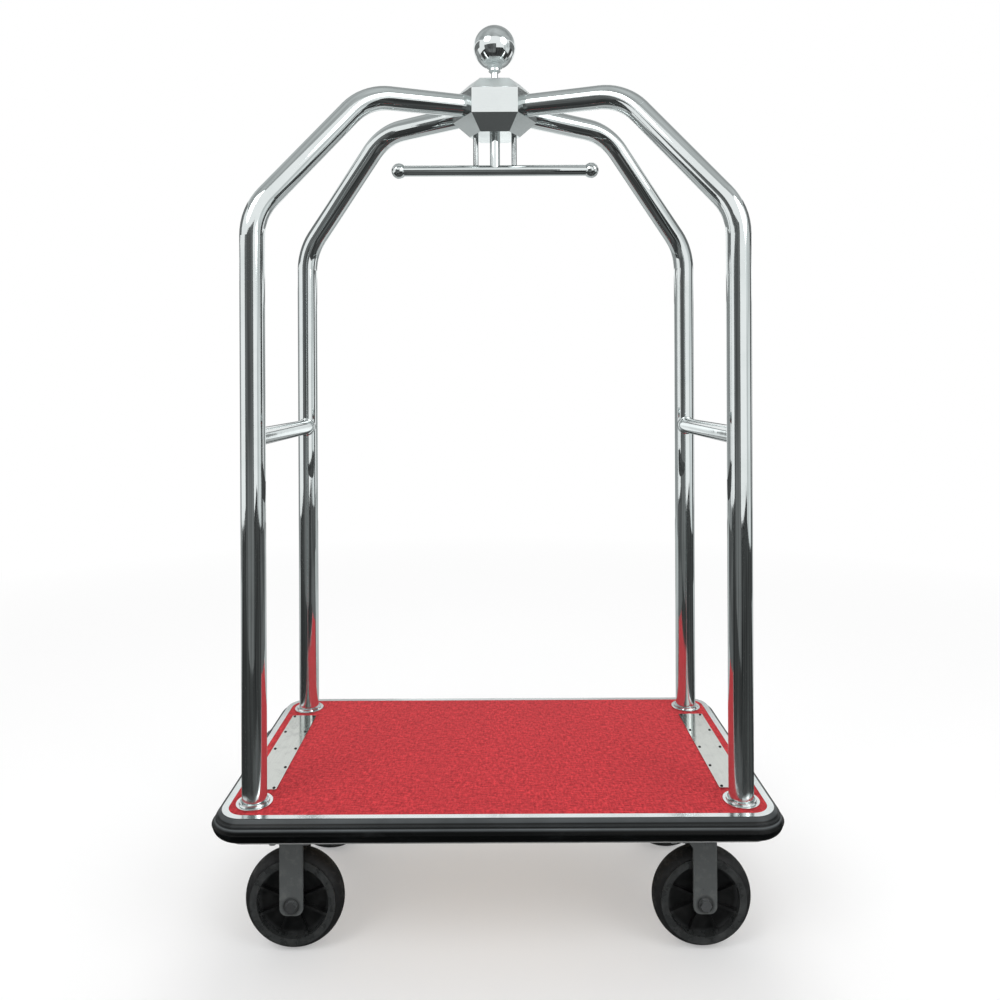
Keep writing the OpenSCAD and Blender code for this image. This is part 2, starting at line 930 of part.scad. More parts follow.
// Dished and ribbed wheel centre that carries the tyre
module wheel_core(sx, sy) {
  web_t = wheel_w - 2 * dish_depth;
  rib_w = wheel_w - 2 * rib_drop;
  bore_r = bush_d / 2 + fit;
  color([0.16, 0.16, 0.16])
    at_wheel(sx, sy)
      rotate([90, 0, 0]) {
        rotate_extrude() {
          translate([bore_r, -wheel_w / 2])
            square([boss_d / 2 - bore_r, wheel_w]);
          translate([bore_r, -web_t / 2])
            square([dish_r - bore_r + past, web_t]);
          translate([dish_r, -wheel_w / 2])
            square([core_r - dish_r, wheel_w]);
        }
        for (i = [0 : ribs - 1])
          rotate([0, 0, (i + 0.5) * 360 / ribs])
            translate([boss_d / 2 - past, -rib_t / 2, -rib_w / 2])
              cube([dish_r - boss_d / 2 + 2 * past, rib_t, rib_w]);
      }
}

module tyre(sx, sy) {
  color([0.08, 0.08, 0.08])
    at_wheel(sx, sy)
      rotate([90, 0, 0])
        rotate_extrude()
          intersection() {
            translate([wheel_d / 2 - tread_crown_r, 0])
              circle(r = tread_crown_r);
            translate([wheel_d / 2 - tread_t, -wheel_w / 2])
              square([tread_t, wheel_w]);
          }
}

module caster_bolts() {
  color("silver")
    translate([0, 0, caster_plate_z])
      at_caster_plates()
        at_caster_bolts()
          hex_bolt(caster_bolt_d, caster_plate_t + channel_t + nut_h_share * caster_bolt_d + nut_slack);
}

module caster_nuts() {
  color("silver")
    translate([0, 0, caster_h + channel_t])
      at_caster_plates()
        at_caster_bolts()
          hex_nut(caster_bolt_d);
}

post(-1, -1);  // front_left_post
post(1, -1);  // front_right_post
post(-1, 1);  // rear_left_post
post(1, 1);  // rear_right_post
side_rail(-1);  // left_side_rail
side_rail(1);  // right_side_rail
crown_hub();
finial_stem();
finial_ball();
hanger_stem();
hanger_rods();
hanger_bar();
hanger_bar_balls();
post_flanges();
post_plugs();
post_bolts();
deck_board();
deck_frame();
caster_channel(-1);  // left_caster_channel
caster_channel(1);  // right_caster_channel
carpet();
edge_trim();
bumper();
bumper_joiner();
end_plate(-1);  // left_end_plate
end_plate(1);  // right_end_plate
end_plate_screws();
rigid_fork(-1);  // front_left_fork
rigid_fork(1);  // rear_left_fork
swivel_fork(-1);  // front_right_fork
swivel_fork(1);  // rear_right_fork
swivel_plate(-1);  // front_right_swivel_plate
swivel_plate(1);  // rear_right_swivel_plate
kingpin(-1);  // front_right_kingpin
kingpin(1);  // rear_right_kingpin
kingpin_nuts();
ball_race(-1);  // front_right_ball_race
ball_race(1);  // rear_right_ball_race
axle(-1, -1);  // front_left_axle
axle(-1, 1);  // rear_left_axle
axle(1, -1);  // front_right_axle
axle(1, 1);  // rear_right_axle
left_axle_nuts();
axle_nut(1, -1);  // front_right_axle_nut
axle_nut(1, 1);  // rear_right_axle_nut
wheel_bush(-1, -1);  // front_left_wheel_bush
wheel_bush(-1, 1);  // rear_left_wheel_bush
wheel_bush(1, -1);  // front_right_wheel_bush
wheel_bush(1, 1);  // rear_right_wheel_bush
wheel_core(-1, -1);  // front_left_wheel_core
wheel_core(-1, 1);  // rear_left_wheel_core
wheel_core(1, -1);  // front_right_wheel_core
wheel_core(1, 1);  // rear_right_wheel_core
tyre(-1, -1);  // front_left_tyre
tyre(-1, 1);  // rear_left_tyre
tyre(1, -1);  // front_right_tyre
tyre(1, 1);  // rear_right_tyre
caster_bolts();
caster_nuts();
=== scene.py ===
import json
import math
import bpy
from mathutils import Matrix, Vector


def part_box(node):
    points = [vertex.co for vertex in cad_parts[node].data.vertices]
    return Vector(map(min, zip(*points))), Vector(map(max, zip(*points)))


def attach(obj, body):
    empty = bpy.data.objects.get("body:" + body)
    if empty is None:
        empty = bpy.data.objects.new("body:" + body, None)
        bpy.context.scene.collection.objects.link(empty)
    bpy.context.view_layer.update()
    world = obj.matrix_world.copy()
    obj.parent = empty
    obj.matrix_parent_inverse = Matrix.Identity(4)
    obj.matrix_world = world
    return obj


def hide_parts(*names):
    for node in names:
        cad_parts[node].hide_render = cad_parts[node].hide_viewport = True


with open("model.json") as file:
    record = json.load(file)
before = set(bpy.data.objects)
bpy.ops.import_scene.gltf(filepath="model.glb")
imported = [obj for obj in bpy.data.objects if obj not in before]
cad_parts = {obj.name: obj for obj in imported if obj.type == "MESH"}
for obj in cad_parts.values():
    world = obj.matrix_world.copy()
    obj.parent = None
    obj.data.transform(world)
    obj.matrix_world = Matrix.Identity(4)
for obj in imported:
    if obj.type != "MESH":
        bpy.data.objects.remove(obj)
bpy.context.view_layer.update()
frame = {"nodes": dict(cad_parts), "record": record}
nodes = frame["nodes"]
scene = bpy.context.scene
scene.view_settings.view_transform = "Standard"
print("frame loaded,", len(nodes), "solids")

# a level lens in front of the cart, framed low with the shift
camera = {
    "place": (0.0, -1.758, 1.131),
    "lens": 28.12,
    "sensor": 36.0,
    "shiftX": 0.004,
    "shiftY": -0.113,
    "roll": 0.0045,
}


def placeCamera():
    bpy.ops.object.camera_add(location=camera["place"], rotation=(math.pi / 2, camera["roll"], 0))
    lens = bpy.context.object
    lens.name = "frontCamera"
    lens.data.lens = camera["lens"]
    lens.data.sensor_width = camera["sensor"]
    lens.data.shift_x = camera["shiftX"]
    lens.data.shift_y = camera["shiftY"]
    lens.data.clip_end = 100
    scene.camera = lens


placeCamera()
print("camera placed")


# one number socket, so that shader sums read as sums
class Tone:
    def __init__(self, finish, socket):
        self.finish = finish
        self.socket = socket

    def __add__(self, other):
        return self.finish.sums("ADD", self, other)

    def __sub__(self, other):
        return self.finish.sums("SUBTRACT", self, other)

    def __rsub__(self, other):
        return self.finish.sums("SUBTRACT", other, self)

    def __mul__(self, other):
        return self.finish.sums("MULTIPLY", self, other)

    def __truediv__(self, other):
        return self.finish.sums("DIVIDE", self, other)

    def __pow__(self, other):
        return self.finish.sums("POWER", self, other)

    def __abs__(self):
        return self.finish.sums("ABSOLUTE", self, 0)

    __radd__ = __add__
    __rmul__ = __mul__


# one node tree, of a material or of the world
class Finish:
    def __init__(self, owner):
        owner.use_nodes = True
        self.owner = owner
        self.tree = owner.node_tree

    def node(self, kind, settings=None, sockets=None, out=0):
        made = self.tree.nodes.new("ShaderNode" + kind)
        for key, value in (settings or {}).items():
            if key == "stops":
                ramp = made.color_ramp
                for at, tone in value[1:-1]:
                    ramp.elements.new(at)
                for stop, (at, tone) in zip(ramp.elements, value):
                    stop.position = at
                    stop.color = (tone, tone, tone, 1)
            else:
                setattr(made, key, value)
        for key, value in (sockets or {}).items():
            self.feed(made.inputs[key], value)
        return Tone(self, made.outputs[out])

    def feed(self, socket, value):
        if isinstance(value, Tone):
            self.tree.links.new(value.socket, socket)
        elif isinstance(value, tuple) and socket.type == "RGBA":
            socket.default_value = (*value, 1)
        else:
            socket.default_value = value

    def sums(self, how, first, second):
        return self.node("Math", {"operation": how}, {0: first, 1: second})

    def place(self, stretch=(1, 1, 1)):
        seen = self.node("TexCoord", out="Object")
        if stretch == (1, 1, 1):
            return seen
        return self.node("Mapping", {}, {"Vector": seen, "Scale": stretch})

    def axes(self):
        split = self.node("SeparateXYZ", {}, {"Vector": self.place()})
        return [Tone(self, out) for out in split.socket.node.outputs]

    def noise(self, scale, detail, rough, stretch=(1, 1, 1), seen=None):
        sockets = {"Scale": scale, "Detail": detail, "Roughness": rough}
        sockets["Vector"] = seen or self.place(stretch)
        return self.node("TexNoise", {}, sockets)

    def ramp(self, value, *stops):
        return self.node("ValToRGB", {"stops": stops}, {"Fac": value})

    def blend(self, part, first, second):
        return self.node("Mix", {"data_type": "RGBA"}, {0: part, 6: first, 7: second}, 2)

    def bump(self, height, strength, depth, under=None):
        sockets = {"Height": height, "Strength": strength, "Distance": depth}
        if under:
            sockets["Normal"] = under
        return self.node("Bump", {}, sockets)

    def skin(self, **sockets):
        surface = self.tree.nodes["Principled BSDF"]
        for key, value in sockets.items():
            self.feed(surface.inputs[key.replace("_", " ")], value)
        return self.owner


def newFinish(name):
    return Finish(bpy.data.materials.new(name))


# luggage dulls the feet of the posts
postFoot = {"low": 0.36, "high": 0.62, "dull": 0.13}


def polishedTube():
    f = newFinish("polishedTube")
    z = f.axes()[2]
    span = postFoot["high"] - postFoot["low"]
    dulled = f.ramp((postFoot["high"] - z) / span, (0, 0), (1, 1))
    smudge = f.ramp(f.noise(14, 4, 0.6), (0.42, 0), (0.72, 1))
    drawn = f.noise(22, 2, 0.5, stretch=(1, 1, 0.12))
    hairline = f.ramp(f.noise(420, 2, 0.6, stretch=(1, 1, 0.05)), (0.56, 0), (0.7, 1))
    colour = f.blend(smudge, (0.765, 0.81, 0.81), (0.70, 0.75, 0.748))
    wavy = f.bump(drawn, 0.05, 0.004)
    normal = f.bump(hairline, 0.008, 0.0004, wavy)
    roughness = 0.035 + 0.055 * smudge + 0.03 * hairline + postFoot["dull"] * dulled
    return f.skin(Base_Color=colour, Metallic=1.0, Roughness=roughness, Normal=normal)


# the slopes above the band are ground matt
casting = {"slope": 0.032, "fade": 0.003, "matt": 0.3}


def hubCasting():
    f = newFinish("hubCasting")
    z = f.axes()[2]
    low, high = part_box("crown_hub")
    above = (z - (high.z - casting["slope"])) / casting["fade"]
    ground = f.ramp(above, (0, 0), (1, 1))
    cloud = f.noise(26, 4, 0.6)
    linish = f.ramp(f.noise(300, 3, 0.6, stretch=(0.06, 0.06, 1)), (0.45, 0), (0.75, 1))
    grain = f.noise(900, 2, 0.5)
    colour = f.blend(cloud, (0.80, 0.84, 0.838), (0.72, 0.765, 0.762))
    normal = f.bump(linish, 0.02, 0.0005, f.bump(cloud, 0.05, 0.002))
    roughness = 0.12 + 0.07 * cloud + 0.06 * linish + 0.02 * grain + casting["matt"] * ground
    return f.skin(Base_Color=colour, Metallic=1.0, Roughness=roughness, Normal=normal)


# bright steel rod, drawn but not plated
def rodSteel():
    f = newFinish("rodSteel")
    drawn = f.noise(500, 3, 0.6, stretch=(1, 1, 0.04))
    stain = f.ramp(f.noise(40, 4, 0.6), (0.4, 0), (0.7, 1))
    colour = f.blend(stain, (0.40, 0.425, 0.425), (0.25, 0.27, 0.27))
    roughness = 0.1 + 0.08 * drawn + 0.08 * stain
    normal = f.bump(drawn, 0.03, 0.0003)
    return f.skin(Base_Color=colour, Metallic=1.0, Roughness=roughness, Normal=normal)


def endPlateSatin():
    f = newFinish("endPlateSatin")
    brushed = f.noise(900, 3, 0.65, stretch=(1, 0.015, 1))
    scuff = f.ramp(f.noise(34, 5, 0.7), (0.5, 0), (0.78, 1))
    colour = f.blend(brushed, (0.65, 0.67, 0.64), (0.52, 0.545, 0.515))
    dulled = f.blend(scuff * 0.35, colour, (0.52, 0.54, 0.53))
    roughness = 0.08 + 0.08 * brushed + 0.12 * scuff
    normal = f.bump(brushed, 0.03, 0.0004)
    return f.skin(Base_Color=dulled, Metallic=1.0, Roughness=roughness, Normal=normal)


# near-black screws: the dark head colour is painted shade for the recesses, with random brighter rubbed
# patches
def screwShadeBlack():
    f = newFinish("screwShadeBlack")
    wearAndHighlight = f.ramp(f.noise(900, 3, 0.6), (0.5, 0), (0.7, 1))
    # the near-black base is painted shade standing in for the screw recess
    colour = f.blend(wearAndHighlight, (0.030, 0.031, 0.032), (0.16, 0.16, 0.155))
    roughness = 0.3 + 0.2 * wearAndHighlight
    normal = f.bump(wearAndHighlight, 0.05, 0.0002)
    return f.skin(Base_Color=colour, Metallic=1.0, Roughness=roughness, Normal=normal)


def zincPlate():
    f = newFinish("zincPlate")
    mottle = f.noise(160, 3, 0.6)
    stain = f.ramp(f.noise(60, 4, 0.65), (0.52, 0), (0.75, 1))
    colour = f.blend(mottle, (0.70, 0.71, 0.72), (0.52, 0.54, 0.56))
    dulled = f.blend(stain * 0.4, colour, (0.40, 0.39, 0.36))
    roughness = 0.26 + 0.16 * mottle + 0.12 * stain
    normal = f.bump(mottle, 0.06, 0.0005)
    return f.skin(Base_Color=dulled, Metallic=1.0, Roughness=roughness, Normal=normal)


def frameCoat():
    f = newFinish("frameCoat")
    peel = f.noise(650, 2, 0.5)
    dust = f.ramp(f.noise(11, 5, 0.65), (0.4, 0), (0.75, 1))
    colour = f.blend(dust, (0.29, 0.30, 0.30), (0.36, 0.365, 0.355))
    normal = f.bump(peel, 0.12, 0.0005)
    roughness = 0.42 + 0.2 * dust
    return f.skin(Base_Color=colour, Metallic=0.0, Roughness=roughness, Normal=normal)


wheel = {"axleX": 0.412, "axleZ": 0.1, "radius": 0.1, "rim": 0.074, "axleShadeRing": 0.0145}


# distance from the axle, the same for the four wheels
def wheelRadius(f):
    x, y, z = f.axes()
    across = abs(x) - wheel["axleX"]
    up = z - wheel["axleZ"]
    return (across * across + up * up) ** 0.5


def forkPaint():
    f = newFinish("forkPaint")
    peel = f.noise(520, 2, 0.5)
    wearAndHighlight = f.ramp(f.noise(48, 5, 0.7), (0.5, 0), (0.8, 1))
    chip = f.ramp(f.noise(170, 4, 0.75), (0.66, 0), (0.7, 1))
    # a dark ring round the axle is painted shade where the head meets the leg; the paint is also
    # glossier there
    ring = abs(wheelRadius(f) / wheel["axleShadeRing"] - 1.0)
    axleShade = f.ramp(ring, (0.0, 1), (0.35, 0))
    colour = f.blend(wearAndHighlight, (0.078, 0.085, 0.085), (0.125, 0.132, 0.13))
    chipped = f.blend(chip * 0.8, colour, (0.02, 0.02, 0.019))
    # worn holds the chips and rubbed wear, and also the painted shade round the axle
    worn = f.blend(axleShade * 0.8, chipped, (0.012, 0.012, 0.012))
    normal = f.bump(peel - chip, 0.16, 0.0006)
    roughness = 0.4 + 0.18 * wearAndHighlight - 0.15 * axleShade
    return f.skin(Base_Color=worn, Metallic=0.0, Roughness=roughness, Normal=normal)


def bushBronze():
    f = newFinish("bushBronze")
    mottle = f.noise(300, 3, 0.6)
    colour = f.blend(mottle, (0.60, 0.44, 0.20), (0.42, 0.29, 0.13))
    normal = f.bump(mottle, 0.05, 0.0004)
    roughness = 0.3 + 0.2 * mottle
    return f.skin(Base_Color=colour, Metallic=1.0, Roughness=roughness, Normal=normal)


def wheelNylon():
    f = newFinish("wheelNylon")
    grain = f.noise(700, 2, 0.5)
    dust = f.ramp(f.noise(40, 5, 0.65), (0.42, 0), (0.78, 1))
    # the dish is painted darker as painted shade, and the rim ring lighter as a painted highlight; dust
    # varies both
    deep = f.blend(dust, (0.006, 0.0064, 0.0066), (0.016, 0.0165, 0.0165))
    wearAndHighlight = f.blend(dust, (0.026, 0.028, 0.028), (0.054, 0.057, 0.057))
    rim = f.ramp(wheelRadius(f) / wheel["rim"], (0.86, 0), (0.95, 1))
    normal = f.bump(grain, 0.08, 0.0004)
    roughness = 0.36 + 0.2 * dust - 0.1 * rim
    return f.skin(
        Base_Color=f.blend(rim, deep, wearAndHighlight),
        Metallic=0.0,
        Roughness=roughness,
        Normal=normal,
        Specular_IOR_Level=0.25,
    )


def tyreRubber():
    f = newFinish("tyreRubber")
    grain = f.noise(480, 3, 0.6)
    mark = f.ramp(f.noise(70, 5, 0.7), (0.48, 0), (0.75, 1))
    tread = f.ramp(wheelRadius(f) / wheel["radius"], (0.93, 0), (0.99, 1))
    colour = f.blend(mark, (0.014, 0.0145, 0.015), (0.030, 0.031, 0.031))
    dusty = f.blend(tread * mark * 0.8, colour, (0.075, 0.073, 0.068))
    normal = f.bump(grain, 0.14, 0.0005)
    roughness = 0.46 + 0.14 * mark + 0.2 * tread
    return f.skin(
        Base_Color=dusty,
        Metallic=0.0,
        Roughness=roughness,
        Normal=normal,
        Specular_IOR_Level=0.25,
    )


def carpetPile():
    f = newFinish("carpetPile")
    fibre = f.noise(620, 3, 0.7)
    warp = f.noise(230, 3, 0.65, stretch=(1, 0.3, 1))
    weft = f.noise(230, 3, 0.65, stretch=(0.3, 1, 1))
    tuft = 0.5 * warp + 0.5 * weft
    shadow = f.ramp(f.noise(260, 3, 0.7, stretch=(0.6, 1, 1)), (0.56, 0), (0.66, 1))
    worn = f.ramp(f.noise(5.5, 4, 0.6), (0.4, 0), (0.72, 1))
    deep = f.blend(f.ramp(tuft, (0.36, 0), (0.64, 1)), (0.25, 0.009, 0.014), (0.75, 0.045, 0.056))
    speck = f.blend(f.ramp(fibre, (0.52, 0), (0.76, 1)) * 0.35, deep, (0.69, 0.09, 0.10))
    trodden = f.blend(worn * 0.3, speck, (0.42, 0.026, 0.034))
    colour = f.blend(shadow * 0.85, trodden, (0.24, 0.012, 0.018))
    normal = f.bump(0.6 * fibre + 0.8 * tuft, 0.7, 0.0018)
    roughness = 0.88 + 0.1 * fibre
    return f.skin(
        Base_Color=colour,
        Metallic=0.0,
        Roughness=roughness,
        Normal=normal,
        Sheen_Weight=0.08,
        Sheen_Roughness=0.5,
        Specular_IOR_Level=0.12,
    )


plySheet = 0.006


def deckPly():
    f = newFinish("deckPly")
    z = f.axes()[2]
    ply = f.sums("SINE", z * (2 * math.pi / plySheet), 0)
    figure = f.noise(26, 5, 0.65, stretch=(0.12, 1, 1))
    pore = f.ramp(f.noise(320, 3, 0.6, stretch=(0.05, 1, 1)), (0.55, 0), (0.75, 1))
    wood = f.blend(f.ramp(figure, (0.3, 0), (0.7, 1)), (0.50, 0.34, 0.19), (0.64, 0.47, 0.29))
    layered = f.blend(f.ramp(ply, (0.45, 0), (0.55, 1)) * 0.25, wood, (0.33, 0.21, 0.11))
    colour = f.blend(pore * 0.4, layered, (0.30, 0.19, 0.10))
    normal = f.bump(pore, 0.15, 0.0005)
    roughness = 0.55 + 0.2 * figure
    return f.skin(Base_Color=colour, Metallic=0.0, Roughness=roughness, Normal=normal)


# the shoulder carries painted sheen and highlight bands, listed upwards, with the dark base rubber
# between them
bumperSheen = {
    "depth": 0.020,
    "sheenBands": (
        (0.1, 0), (0.22, 0.5), (0.28, 1), (0.33, 0.4), (0.39, 0),
        (0.5, 0.22), (0.6, 0.15), (0.667, 0), (0.76, 0.5), (0.93, 0.6),
    ),
}


def bumperRubber():
    f = newFinish("bumperRubber")
    z = f.axes()[2]
    low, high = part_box("bumper")
    level = (z - high.z) / bumperSheen["depth"] + 1
    patchy = f.ramp(f.noise(9, 4, 0.6, stretch=(1, 1, 0.1)), (0.3, 0.7), (0.7, 1))
    # painted sheen and ridge highlights on the shoulder, broken up by patchy noise
    sheenBands = f.ramp(level, *bumperSheen["sheenBands"]) * patchy
    drawn = f.noise(900, 2, 0.5, stretch=(0.02, 0.02, 1))
    grain = f.noise(420, 3, 0.6)
    scuff = f.ramp(f.noise(38, 5, 0.72, stretch=(0.3, 0.3, 1)), (0.54, 0), (0.78, 1))
    clean = f.blend(scuff, (0.0015, 0.002, 0.002), (0.007, 0.0085, 0.009))
    colour = f.blend(sheenBands, clean, (0.125, 0.138, 0.144))
    normal = f.bump(0.6 * drawn + 0.4 * grain, 0.1, 0.0005)
    roughness = 0.28 + 0.2 * scuff + 0.06 * grain
    return f.skin(
        Base_Color=colour,
        Metallic=0.0,
        Roughness=roughness,
        Normal=normal,
        Specular_IOR_Level=0.15,
    )


finishes = {
    "polished_tube": polishedTube(),
    "polished_casting": hubCasting(),
    "hanger_rods": rodSteel(),
    "end_plate": endPlateSatin(),
    "plate_screws": screwShadeBlack(),
    "zinc_hardware": zincPlate(),
    "frame_steel": frameCoat(),
    "fork_paint": forkPaint(),
    "bush_brass": bushBronze(),
    "wheel_plastic": wheelNylon(),
    "tyre": tyreRubber(),
    "carpet": carpetPile(),
    "plywood": deckPly(),
    "bumper_rubber": bumperRubber(),
}


def dress(piece, slot):
    piece.data.materials.clear()
    piece.data.materials.append(finishes[slot])


for part in frame["record"]["subparts"]:
    dress(nodes[part["node"]], part["material_slot"])
dress(nodes["hanger_rods"], "hanger_rods")
print("finishes made,", len(finishes))


def startFresh():
    bpy.ops.object.select_all(action="DESELECT")


def pick(piece):
    startFresh()
    piece.select_set(True)
    bpy.context.view_layer.objects.active = piece


# the piece keeps its place in its mesh
def settle(piece):
    pick(piece)
    bpy.ops.object.transform_apply(location=True, rotation=True, scale=True)


def useModifier(piece, kind, **settings):
    bpy.context.view_layer.objects.active = piece
    made = piece.modifiers.new(kind.lower(), kind)
    for key, value in settings.items():
        setattr(made, key, value)
    bpy.ops.object.modifier_apply(modifier=made.name)


def cutWith(piece, cutter, how):
    useModifier(piece, "BOOLEAN", object=cutter, operation=how, solver="EXACT")
    bpy.data.objects.remove(cutter)


# bevels the edges whose two ends pass the test
def bevelEdges(piece, test, **settings):
    bpy.ops.object.mode_set(mode="EDIT")
    bpy.ops.mesh.select_mode(type="EDGE")
    bpy.ops.mesh.select_all(action="DESELECT")
    bpy.ops.object.mode_set(mode="OBJECT")
    for edge in piece.data.edges:
        first, second = [piece.data.vertices[i].co for i in edge.vertices]
        edge.select = test(first, second)
    bpy.ops.object.mode_set(mode="EDIT")
    bpy.ops.mesh.bevel(affect="EDGES", **settings)
    bpy.ops.object.mode_set(mode="OBJECT")


carpet = {
    "cell": 0.004,
    "spare": 1.01,
    "corner": 0.0355,
    "cornerSteps": 10,
    "pile": 0.0009,
    "tuft": 0.007,
    "postHole": 0.0243,
    "holeSides": 64,
    "postX": 0.4775,
    "postY": 0.225,
    "topBand": 1e-4,
    "smooth": 40,
}


def roundedBlock(low, high, corner):
    startFresh()
    size = high - low
    bpy.ops.mesh.primitive_cube_add(size=1, location=(low + high) / 2, scale=size)
    block = bpy.context.object
    settle(block)

    def upright(first, second):
        return abs(first.z - second.z) > 0.5 * size.z

    bevelEdges(block, upright, offset=corner, segments=carpet["cornerSteps"])
    return block


def layCarpet():
    low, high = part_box("carpet")
    size = high - low
    startFresh()
    bpy.ops.mesh.primitive_grid_add(
        x_subdivisions=round(size.x / carpet["cell"]),
        y_subdivisions=round(size.y / carpet["cell"]),
        size=1,
        location=(0, 0, high.z),
    )
    mat = bpy.context.object
    mat.name = "carpetMat"
    mat.scale = (size.x * carpet["spare"], size.y * carpet["spare"], 1)
    settle(mat)
    bpy.ops.object.mode_set(mode="EDIT")
    bpy.ops.mesh.select_mode(type="EDGE")
    bpy.ops.mesh.select_all(action="DESELECT")
    bpy.ops.mesh.select_non_manifold()
    down = {"value": (0, 0, -size.z)}
    bpy.ops.mesh.extrude_region_move(TRANSFORM_OT_translate=down)
    bpy.ops.mesh.edge_face_add()
    bpy.ops.mesh.select_all(action="SELECT")
    bpy.ops.mesh.normals_make_consistent(inside=False)
    bpy.ops.object.mode_set(mode="OBJECT")
    reach = size.copy()
    reach.x = reach.y = 0
    cutWith(mat, roundedBlock(low - reach, high + reach, carpet["corner"]), "INTERSECT")
    for sx in (-1, 1):
        for sy in (-1, 1):
            startFresh()
            bpy.ops.mesh.primitive_cylinder_add(
                vertices=carpet["holeSides"],
                radius=carpet["postHole"],
                depth=4 * size.z,
                location=(sx * carpet["postX"], sy * carpet["postY"], high.z),
            )
            cutWith(mat, bpy.context.object, "DIFFERENCE")
    top = mat.vertex_groups.new(name="top")
    near = [v.index for v in mat.data.vertices if v.co.z > high.z - carpet["topBand"]]
    top.add(near, 1, "REPLACE")
    tufts = bpy.data.textures.new("carpetTufts", "CLOUDS")
    tufts.noise_scale = carpet["tuft"]
    useModifier(
        mat,
        "DISPLACE",
        texture=tufts,
        texture_coords="LOCAL",
        direction="Z",
        vertex_group="top",
        strength=carpet["pile"],
        mid_level=1,
    )
    pick(mat)
    bpy.ops.object.shade_smooth_by_angle(angle=math.radians(carpet["smooth"]))
    dress(mat, "carpet")
    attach(mat, "cart")
    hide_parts("carpet")
    print("carpet laid,", len(mat.data.polygons), "faces")


layCarpet()

plateScrew = {
    "head": 0.0064,
    "sides": 32,
    "rise": 0.0017,
    "crown": 0.35,
    "crownShare": 0.8,
    "crownSteps": 5,
    "slot": 0.0011,
    "slotDepth": 0.0010,
    "slotReach": 1.3,
    "inset": 0.006,
    "along": 5,
    "turnStep": 37,
    "smooth": 30,
}


# one crossed screw with a domed head, standing at the origin
def plateScrewHead():
    radius = plateScrew["head"] / 2
    rise = plateScrew["rise"]
    startFresh()
    bpy.ops.mesh.primitive_cylinder_add(
        vertices=plateScrew["sides"], radius=radius, depth=rise, location=(0, 0, rise / 2)
    )
    screw = bpy.context.object
    settle(screw)

    def atTop(first, second):
        return min(first.z, second.z) > 0.9 * rise

    bevelEdges(
        screw,
        atTop,
        offset=plateScrew["crownShare"] * rise,
        segments=plateScrew["crownSteps"],
        profile=plateScrew["crown"],
    )
    for turn in (0, 90):
        startFresh()
        bpy.ops.mesh.primitive_cube_add(
            size=1,
            location=(0, 0, rise),
            rotation=(0, 0, math.radians(turn)),
            scale=(plateScrew["slotReach"] * radius, plateScrew["slot"], 2 * plateScrew["slotDepth"]),
        )
        cutWith(screw, bpy.context.object, "DIFFERENCE")
    return screw


def drivePlateScrews():
    first = plateScrewHead()
    inset = plateScrew["inset"]
    heads = []
    for plate in ("left_end_plate", "right_end_plate"):
        low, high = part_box(plate)
        step = (high.y - low.y - 2 * inset) / (plateScrew["along"] - 1)
        for x in (low.x + inset, high.x - inset):
            for i in range(plateScrew["along"]):
                pick(first)
                bpy.ops.object.duplicate()
                head = bpy.context.object
                head.location = (x, low.y + inset + i * step, high.z)
                head.rotation_euler = (0, 0, math.radians(plateScrew["turnStep"] * len(heads)))
                heads.append(head)
    bpy.data.objects.remove(first)
    pick(heads[0])
    for head in heads:
        head.select_set(True)
    bpy.ops.object.join()
    screws = bpy.context.object
    screws.name = "plateScrews"
    settle(screws)
    bpy.ops.object.shade_smooth_by_angle(angle=math.radians(plateScrew["smooth"]))
    dress(screws, "plate_screws")
    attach(screws, "cart")
    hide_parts("end_plate_screws")
    print("plate screws driven,", len(heads))


drivePlateScrews()

railWeld = {
    "bead": 0.0034,
    "lift": 0.25,
    "around": 72,
    "sides": 14,
    "postRadius": 0.02415,
    "bendLimit": 0.0225,
    "ripples": 30,
    "ripple": 0.05,
}


# a smooth fillet where a side rail meets a post, bent round the post
def weldRail(name, rail, sy):
    low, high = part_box(rail)
    middle = (low + high) / 2
    radius = (high.z - low.z) / 2
    bead = railWeld["bead"]
    startFresh()
    bpy.ops.mesh.primitive_torus_add(
        major_segments=railWeld["around"],
        minor_segments=railWeld["sides"],
        major_radius=radius + railWeld["lift"] * bead,
        minor_radius=bead,
        location=(middle.x, sy * carpet["postY"], middle.z),
        rotation=(math.pi / 2, 0, 0),
    )
    weld = bpy.context.object
    weld.name = name
    settle(weld)
    for v in weld.data.vertices:
        across = v.co.x - middle.x
        up = v.co.z - middle.z
        ring = math.hypot(across, up)
        swell = 1 + railWeld["ripple"] * math.sin(railWeld["ripples"] * math.atan2(up, across))
        grown = (radius + (ring - radius) * swell) / ring
        v.co.x = middle.x + across * grown
        v.co.z = middle.z + up * grown
        chord = min(abs(across), railWeld["bendLimit"])
        v.co.y -= sy * math.sqrt(railWeld["postRadius"] ** 2 - chord**2)
    pick(weld)
    bpy.ops.object.shade_smooth()
    dress(weld, "polished_tube")
    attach(weld, "cart")


for side in ("left", "right"):
    for sy, end in ((-1, "front"), (1, "rear")):
        weldRail(f"{end}_{side}_rail_weld", f"{side}_side_rail", sy)
print("rail welds made")

studio = {
    "floorRadius": 14,
    "floorSides": 128,
    "floorDrop": 0.0004,
    "floorTone": (0.93, 0.93, 0.93),
    "floorFade": (0.05, 0.30),
    "floorGlow": 0.3,
    "airLight": 0.70,
    "lamps": [
        {"name": "keyLamp", "place": (-2.2, -2.6, 3.7), "aim": (0, 0, 0.9), "size": 2.2, "power": 54},
        {"name": "fillLamp", "place": (2.8, -2.4, 3.1), "aim": (0, 0, 0.9), "size": 2.4, "power": 40},
        {"name": "topLamp", "place": (0.3, 1.4, 4.8), "aim": (0, 0, 0.6), "size": 3.0, "power": 58},
    ],
}


